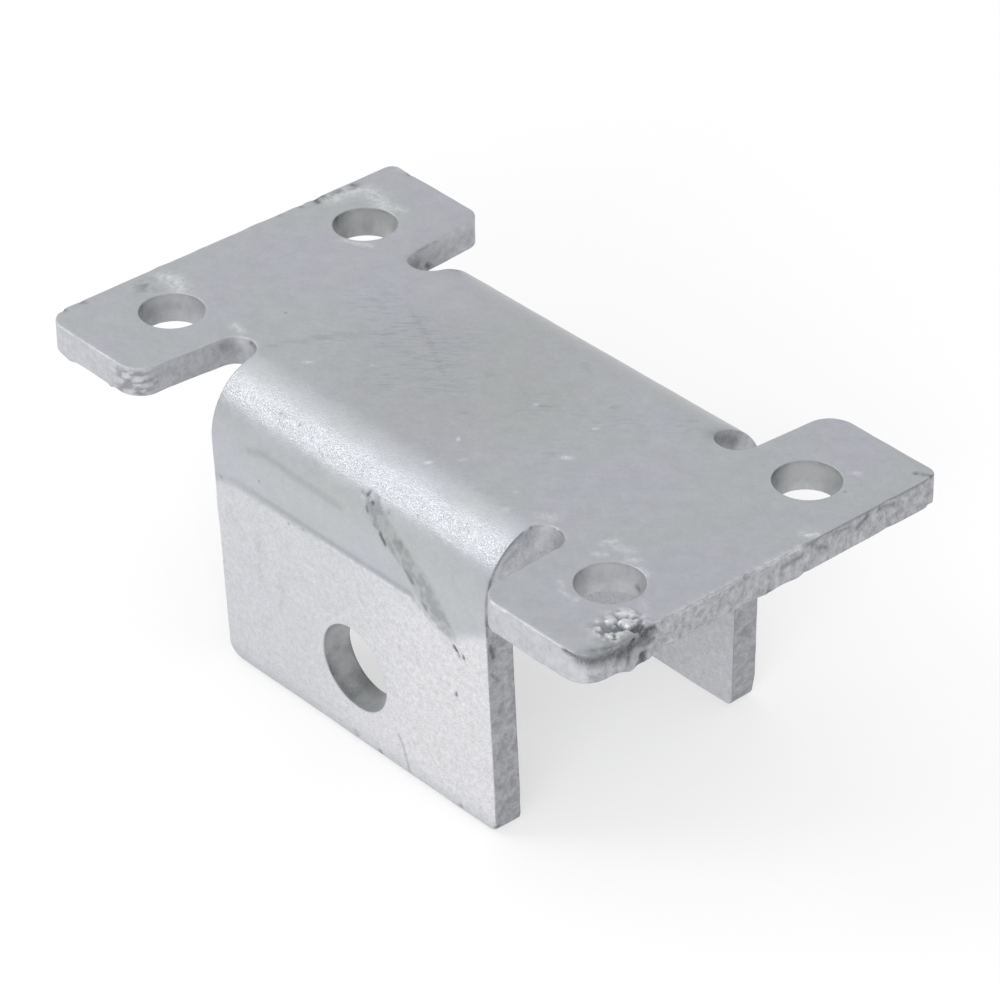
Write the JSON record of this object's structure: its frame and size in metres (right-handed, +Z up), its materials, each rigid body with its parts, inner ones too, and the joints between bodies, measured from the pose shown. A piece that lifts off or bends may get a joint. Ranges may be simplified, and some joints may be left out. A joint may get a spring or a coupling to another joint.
{
  "type": "stamped metal bracket",
  "caption": "Folded steel clevis bracket: flat top plate with bolted wings and two flanges folded down that hold a cross pin between them.",
  "frame": {"origin": "centre of the bolt pattern, on the surface that the flange edges stand on", "axes": "+X along the bracket from wing to wing, +Y from the front flange to the back flange, +Z up out of the flat top face"},
  "size_m": [0.15, 0.0856, 0.0639],
  "materials": {
    "galvanised_steel": "hot-dip galvanised, satin grey with brighter runs of zinc"
  },
  "bodies": {
    "root": {"bracket": "galvanised_steel"}
  },
  "joints": []
}
